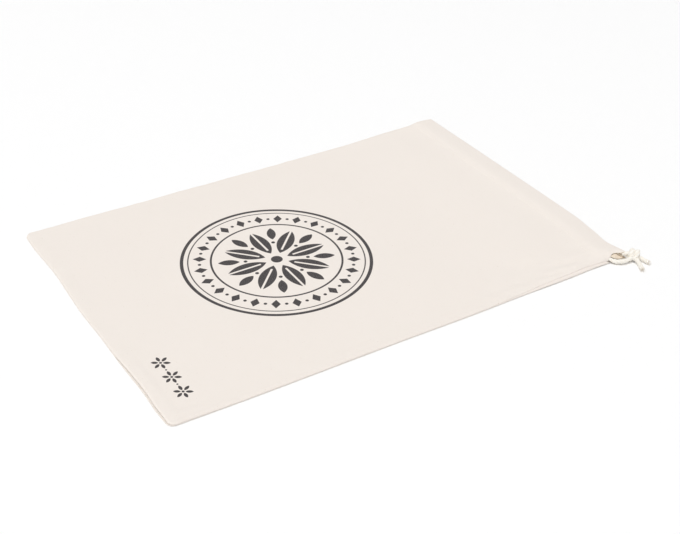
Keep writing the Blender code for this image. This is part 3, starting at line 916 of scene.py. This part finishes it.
def add_fray(name, route, finish, seed):
    """The loose fibres at a tail's cut end, each one a thin tapered thread."""
    tip, along = route[-1], (route[-1] - route[-3]).normalized()
    across, over = ring_frames(route)[-1]
    fray = bmesh.new()
    for i in range(FRAY_COUNT):
        turn = i * GOLDEN_ANGLE
        out = math.sqrt((i + 0.5) / FRAY_COUNT)
        jitter = jitter_at(i, seed)
        spoke = across * math.cos(turn) + over * math.sin(turn)
        length = FRAY_LENGTH * (1 + FRAY_UNEVEN * jitter.z)
        root = tip - along * FRAY_DEPTH + spoke * (out * CORD * FRAY_ROOTS)
        lean = (along + spoke * (FRAY_SPREAD * out) + jitter * FRAY_STRAY).normalized()
        end = root + lean * length
        end.z = max(end.z - FRAY_DROOP, FRAY_THREAD)
        made = bmesh.ops.create_cone(
            fray, cap_ends=True, segments=FRAY_SIDES, depth=1.0,
            radius1=FRAY_THREAD, radius2=FRAY_THREAD * FRAY_TAPER,
        )
        direction = (end - root).normalized()
        turn_to = direction.to_track_quat("Z", "Y").to_matrix().to_4x4()
        size = Matrix.Diagonal((1.0, 1.0, (end - root).length, 1.0))
        place = Matrix.Translation((root + end) / 2)
        bmesh.ops.transform(fray, matrix=place @ turn_to @ size, verts=made["verts"])
    return add_piece(name, fray, [finish])


class Wire:
    """An output of a finish's nodes that can be used in plain sums."""

    def __init__(self, finish, socket):
        self.finish, self.socket = finish, socket

    def __add__(self, other):
        return self.finish.maths("ADD", self, other)

    def __radd__(self, other):
        return self.finish.maths("ADD", other, self)

    def __sub__(self, other):
        return self.finish.maths("SUBTRACT", self, other)

    def __rsub__(self, other):
        return self.finish.maths("SUBTRACT", other, self)

    def __mul__(self, other):
        return self.finish.maths("MULTIPLY", self, other)

    def __rmul__(self, other):
        return self.finish.maths("MULTIPLY", other, self)

    def __pow__(self, other):
        return self.finish.maths("POWER", self, other)

    def __rpow__(self, other):
        return self.finish.maths("POWER", other, self)

    def __abs__(self):
        return self.finish.maths("ABSOLUTE", self)


class Finish:
    """A material, its nodes all made by one method."""

    def __init__(self, name, roughness, through=THROUGH_LIGHT):
        self.material = bpy.data.materials.new(name)
        self.material.use_nodes = True
        self.tree = self.material.node_tree
        self.shader = self.tree.nodes["Principled BSDF"]
        settings = {
            "Roughness": roughness,
            "Specular IOR Level": SPECULAR,
            "Sheen Weight": SHEEN,
            "Sheen Roughness": SHEEN_ROUGHNESS,
            "Subsurface Weight": through,
            "Subsurface Radius": (1.0, 1.0, 1.0),
            "Subsurface Scale": THROUGH_DEPTH,
        }
        for socket, value in settings.items():
            self.shader.inputs[socket].default_value = value

    def feed(self, socket, value):
        """Link a wire to a socket, or set the socket to a plain value."""
        if isinstance(value, Wire):
            self.tree.links.new(value.socket, socket)
        else:
            socket.default_value = value

    def node(self, kind, settings=None, sockets=None, out=0):
        """Add a node with its settings and socket values, and give one of its outputs."""
        node = self.tree.nodes.new(kind)
        for name, value in (settings or {}).items():
            setattr(node, name, value)
        for name, value in (sockets or {}).items():
            self.feed(node.inputs[name], value)
        return Wire(self, node.outputs[out])

    def maths(self, operation, *values, clamp=False):
        """The result of a Math node on values and wires."""
        settings = {"operation": operation, "use_clamp": clamp}
        return self.node("ShaderNodeMath", settings, dict(enumerate(values)))

    def inside(self, depth, soft):
        """1 where a depth in metres is above zero, 0 below, with a soft edge."""
        return self.maths("MULTIPLY_ADD", depth, 1 / soft, 0.5, clamp=True)

    def either(self, *masks):
        """The highest of several masks at each place."""
        joined = masks[0]
        for mask in masks[1:]:
            joined = self.maths("MAXIMUM", joined, mask)
        return joined

    def hypot(self, a, b):
        """Length of a line that runs the two given distances across and along."""
        return self.maths("SQRT", a * a + b * b)

    def mix(self, share, first, second):
        """The first colour, with a share of the second one mixed in."""
        sockets = {0: share, FIRST_COLOUR: first, SECOND_COLOUR: second}
        return self.node("ShaderNodeMix", {"data_type": "RGBA"}, sockets, MIXED_COLOUR)

    def uv(self):
        """The piece's UV map, whole and as its two coordinates."""
        flat = self.node("ShaderNodeUVMap", {"uv_map": "UVMap"})
        first = self.node("ShaderNodeSeparateXYZ", sockets={0: flat}, out=0)
        return flat, first, self.node("ShaderNodeSeparateXYZ", sockets={0: flat}, out=1)

    def scaled(self, vector, by):
        """A vector with each of its coordinates scaled by its own number."""
        settings = {"operation": "MULTIPLY"}
        return self.node("ShaderNodeVectorMath", settings, {0: vector, 1: by})

    def noise(self, vector, scale, detail=2.0):
        sockets = {"Vector": vector, "Scale": scale, "Detail": detail}
        return self.node("ShaderNodeTexNoise", sockets=sockets)

    def bump(self, height, distance, strength):
        sockets = {"Height": height, "Distance": distance, "Strength": strength}
        return self.node("ShaderNodeBump", sockets=sockets)

    def close(self, colour, normal, roughness=None):
        """Feed the shader what varies over the surface, and give the material."""
        self.feed(self.shader.inputs["Base Color"], colour)
        self.feed(self.shader.inputs["Normal"], normal)
        if roughness is not None:
            self.feed(self.shader.inputs["Roughness"], roughness)
        return self.material


def weave(finish, across, along):
    """Height of a plain weave from 0 to 1, its threads running across and along."""
    over = finish.maths("SINE", across * (math.pi / WEAVE_PITCH))
    under = finish.maths("SINE", along * (math.pi / WEAVE_PITCH))
    crossing = finish.maths("GREATER_THAN", over * under, 0.0)
    warp, weft = abs(over), abs(under)
    crown = finish.maths("SQRT", crossing * warp + (1 - crossing) * weft)
    return crown * (warp * weft) ** WEAVE_DIP


def folded(finish, radius, angle, count, offset=0.0):
    """Coordinates in one of a ring's equal parts: out along its middle, and across it."""
    part = finish.maths("FRACT", angle * (count / (2 * math.pi)) + (0.5 + offset)) - 0.5
    turn = part * (2 * math.pi / count)
    return radius * finish.maths("COSINE", turn), radius * finish.maths("SINE", turn)


def leaf(finish, out, across, middle, half_length, half_width):
    """A pointed leaf with its long side outwards."""
    arc = (half_length**2 + half_width**2) / (2 * half_width)
    reach = finish.hypot(out - middle, abs(across) + (arc - half_width))
    return finish.inside(arc - reach, INK_EDGE)


def dot(finish, out, across, middle, radius):
    """A round dot."""
    return finish.inside(radius - finish.hypot(out - middle, across), INK_EDGE)


def ring(finish, radius, middle, width):
    """A ring whose middle line has the given radius."""
    return finish.inside(width / 2 - abs(radius - middle), INK_EDGE)


def lozenge(finish, out, across, middle, half_length, half_width):
    """A lozenge with its long side outwards."""
    reach = abs(out - middle) + abs(across) * (half_length / half_width)
    return finish.inside(half_length - reach, INK_EDGE)


def round_print(finish, across, along):
    """The round print on the front: rings, a band of lozenges and a bold rosette."""
    x, y = across - PRINT_NEAR, along - PRINT_BACK
    radius, angle = finish.hypot(x, y), finish.maths("ARCTAN2", y, x)
    out, side = folded(finish, radius, angle, PETALS)
    out_between, side_between = folded(finish, radius, angle, PETALS, 0.5)
    out_band, side_band = folded(finish, radius, angle, BAND_PARTS)
    out_dots, side_dots = folded(finish, radius, angle, BAND_PARTS, 0.5)
    vein = finish.inside(VEIN_HALF_WIDTH - abs(side), INK_EDGE)
    bare = vein * finish.inside(out - VEIN_START, INK_EDGE)
    return finish.either(
        *(ring(finish, radius, *row) for row in RINGS),
        leaf(finish, out, side, *PETAL) * (1 - bare),
        leaf(finish, out_between, side_between, *BUD),
        dot(finish, out_between, side_between, *BUD_DOT),
        lozenge(finish, out_band, side_band, *LOZENGE),
        dot(finish, out_dots, side_dots, *BAND_DOT),
        dot(finish, radius, 0.0, *CENTRE_DOT),
    )


def corner_print(finish, across, along):
    """The small print in the corner: a row of plain flowers with dots between them."""
    x, y = across - CORNER_PRINT_NEAR, along - CORNER_PRINT_BACK
    parts = []
    for place in (-1, 0, 1):
        from_middle = x - place * FLOWER_PITCH
        radius = finish.hypot(from_middle, y)
        angle = finish.maths("ARCTAN2", y, from_middle)
        out, side = folded(finish, radius, angle, FLOWER_PETALS)
        parts.append(leaf(finish, out, side, *FLOWER_PETAL))
        parts.append(dot(finish, radius, 0.0, *FLOWER_DOT))
    for place in (-0.5, 0.5):
        parts.append(dot(finish, x - place * FLOWER_PITCH, y, *BETWEEN_DOT))
    return finish.either(*parts)


def cotton_cloth(name, through, painted_warm_light_reach, printed=False):
    """Plain-woven unbleached cotton, with slubs and seed flecks, printed or bare.

    It is painted warmer on its hem and up to a distance from the mouth: painted warm light,
    standing for light that comes through the cloth and bounces in the mouth's corner."""
    finish = Finish(name, CLOTH_ROUGHNESS, through)
    flat, across, along = finish.uv()
    threads = weave(finish, across, along)
    slubs = finish.noise(finish.scaled(flat, SLUB_STRETCH), 1.0)
    cross_slubs = finish.noise(finish.scaled(flat, CROSS_SLUB_STRETCH), 1.0)
    mottle = finish.noise(flat, MOTTLE_SCALE, MOTTLE_DETAIL)
    tone = (slubs + cross_slubs - 1.0) * SLUB_TONE + (mottle - 0.5) * MOTTLE_TONE
    # Painted shade: the weave's dips between threads are darker in colour and its crowns
    # lighter
    tone = finish.maths("ADD", tone + threads * WEAVE_PAINTED_SHADE, MIDDLE_TONE, clamp=True)
    colour = finish.mix(tone, (*CLOTH_SHADE, 1.0), (*CLOTH_LIGHT, 1.0))
    seeds = finish.noise(flat, FLECK_SCALE, 1.0)
    fleck = finish.inside(seeds - FLECK_START, FLECK_EDGE) * FLECK_SHARE
    colour = finish.mix(fleck, colour, (*FLECK_COLOUR, 1.0))
    # Painted warm light: the hem, and the face up to the reach from the mouth, are tinted
    # amber for light coming through the cloth
    painted_warm_light = finish.inside(painted_warm_light_reach - along, PAINTED_WARM_LIGHT_BLEND) * PAINTED_WARM_LIGHT_SHARE
    colour = finish.mix(painted_warm_light, colour, (*PAINTED_WARM_LIGHT_TONE, 1.0))
    roughness = CLOTH_ROUGHNESS
    if printed:
        ink = finish.either(
            round_print(finish, across, along), corner_print(finish, across, along)
        )
        wear = finish.noise(flat, WEAR_SCALE)
        cover = ink * finish.maths("MULTIPLY_ADD", wear, WEAR_SHARE, LEAST_INK, clamp=True)
        colour = finish.mix(cover, colour, (*INK, 1.0))
        roughness = CLOTH_ROUGHNESS - ink * INK_SMOOTHING
    height = threads + (slubs + cross_slubs) * SLUB_RELIEF
    return finish.close(colour, finish.bump(height, WEAVE_BUMP, WEAVE_STRENGTH), roughness)


def cotton_cord():
    """Soft twisted cotton: fine yarns laid along each strand, a little fuzzy."""
    finish = Finish("soft_cotton_cord", CORD_ROUGHNESS, CORD_THROUGH)
    flat, around, along = finish.uv()
    turns = around * YARNS - along * (1 / YARN_PITCH)
    yarns = finish.maths("SINE", turns * (2 * math.pi))
    fuzz = finish.noise(finish.scaled(flat, FUZZ_STRETCH), 1.0, FUZZ_DETAIL)
    # Painted shade: the grooves between the strands, and the dips between the yarns, are
    # darker in colour
    painted_groove_shade = finish.maths("COSINE", around * (2 * math.pi * STRANDS))
    tone = painted_groove_shade * GROOVE_PAINTED_SHADE + yarns * YARN_PAINTED_SHADE + (fuzz - 0.5) * FUZZ_TONE
    tone = finish.maths("ADD", tone, CORD_TONE, clamp=True)
    colour = finish.mix(tone, (*CORD_SHADE, 1.0), (*CORD_LIGHT, 1.0))
    return finish.close(
        colour, finish.bump(yarns * YARN_RELIEF + fuzz, YARN_BUMP, YARN_STRENGTH)
    )


def thread():
    """Sewing thread and loose fibres, in the colour of the cloth."""
    finish = Finish("cotton_thread", THREAD_ROUGHNESS)
    place = finish.node("ShaderNodeTexCoord", out="Object")
    tone = finish.noise(place, THREAD_SCALE)
    colour = finish.mix(tone, (*CORD_SHADE, 1.0), (*CORD_LIGHT, 1.0))
    return finish.close(colour, finish.bump(tone, THREAD_BUMP, THREAD_STRENGTH))


def add_floor():
    """A plain pale floor under the bag."""
    finish = Finish("pale_floor", FLOOR_ROUGHNESS)
    finish.shader.inputs["Base Color"].default_value = (*FLOOR, 1.0)
    floor = bmesh.new()
    bmesh.ops.create_grid(floor, x_segments=1, y_segments=1, size=FLOOR_SIZE / 2)
    mesh = bpy.data.meshes.new("floor")
    floor.to_mesh(mesh)
    floor.free()
    mesh.materials.append(finish.material)
    item = bpy.data.objects.new("floor", mesh)
    item.location.z = -FLOOR_GAP
    bpy.context.scene.collection.objects.link(item)


def add_lamp():
    """One large soft lamp high above the bag, a little to the near left, aimed at it."""
    lamp = bpy.data.lights.new("soft_lamp", "AREA")
    lamp.shape = "DISK"
    lamp.size = LAMP_SIZE
    lamp.energy = LAMP_POWER
    item = bpy.data.objects.new("soft_lamp", lamp)
    item.location = LAMP_PLACE
    item.rotation_euler = (-LAMP_PLACE).to_track_quat("-Z", "Y").to_euler()
    bpy.context.scene.collection.objects.link(item)


def add_surround():
    """The white surround, whose even light fills the shadows."""
    world = bpy.data.worlds.new("white_surround")
    world.use_nodes = True
    background = world.node_tree.nodes["Background"]
    background.inputs["Color"].default_value = (*SURROUND, 1.0)
    background.inputs["Strength"].default_value = SURROUND_LEVEL
    bpy.context.scene.world = world


def add_camera():
    """The photo's camera, turned by its yaw, pitch and roll, with plain colour rendering."""
    lens = bpy.data.cameras.new("camera")
    lens.lens = CAMERA_LENS
    lens.sensor_width = CAMERA_SENSOR
    camera = bpy.data.objects.new("camera", lens)
    flat = Vector((math.cos(CAMERA_YAW), math.sin(CAMERA_YAW), 0.0))
    ahead = Vector((
        -math.sin(CAMERA_YAW) * math.cos(CAMERA_PITCH),
        math.cos(CAMERA_YAW) * math.cos(CAMERA_PITCH),
        -math.sin(CAMERA_PITCH),
    ))
    above = flat.cross(ahead)
    right = flat * math.cos(CAMERA_ROLL) + above * math.sin(CAMERA_ROLL)
    up = above * math.cos(CAMERA_ROLL) - flat * math.sin(CAMERA_ROLL)
    turn = Matrix((right, up, -ahead)).transposed()
    camera.matrix_world = Matrix.Translation(CAMERA_PLACE) @ turn.to_4x4()
    scene = bpy.context.scene
    scene.collection.objects.link(camera)
    scene.camera = camera
    scene.view_settings.view_transform = "Standard"


def add_free_cord(side, route, cord_finish, thread_finish, seed):
    """One free end of the cord with its tail and fray, from its casing to its tip."""
    cord = add_piece(
        f"{side}_cord", swept_cord(route, loosened), [cord_finish]
    )
    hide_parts(f"{side}_cord_end", f"{side}_tail")
    fray = add_fray(f"{side}_fray", route, thread_finish, seed)
    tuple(route[0])
    run_lengths(route)[-1]


def main():
    # The outer finishes take the painted warm light on their hems only, the inner one also up
    # to its reach from the mouth
    printed = cotton_cloth("printed_cotton", THROUGH_LIGHT, -PAINTED_WARM_LIGHT_BLEND, True)
    plain = cotton_cloth("plain_cotton", THROUGH_LIGHT, -PAINTED_WARM_LIGHT_BLEND)
    inner = cotton_cloth("inner_cotton", INSIDE_THROUGH, PAINTED_WARM_LIGHT_REACH)
    cord_finish, thread_finish = cotton_cord(), thread()

    back_cloth = add_cloth("back_cloth", back_columns(), back_point, [inner, plain])
    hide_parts("back_panel")
    front_cloth = add_cloth("front_cloth", front_columns(), front_point, [printed, inner])
    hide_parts("front_panel")
    add_stitches(thread_finish)

    held_run = swept_cord(held_route(), even)
    held = add_piece("held_cord", held_run, [cord_finish])
    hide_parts("drawcord")
    knot_turns = swept_cord(wrap_route(), wrap_swell, WRAP_TWIST)
    wraps = add_piece("knot_wraps", knot_turns, [cord_finish])
    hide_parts("knot")
    front = free_route(
        FRONT_CORD_BACK, FRONT_CORD_EXIT, FRONT_CORD_Z, FRONT_END_ROUTE, FRONT_TAIL_ROUTE
    )
    back = free_route(
        BACK_CORD_BACK, BACK_CORD_EXIT, BACK_CORD_Z, BACK_END_ROUTE, BACK_TAIL_ROUTE
    )
    add_free_cord("front", front, cord_finish, thread_finish, 0.0)
    add_free_cord("back", back, cord_finish, thread_finish, 1.0)
    add_floor()
    add_surround()
    add_lamp()
    add_camera()


main()
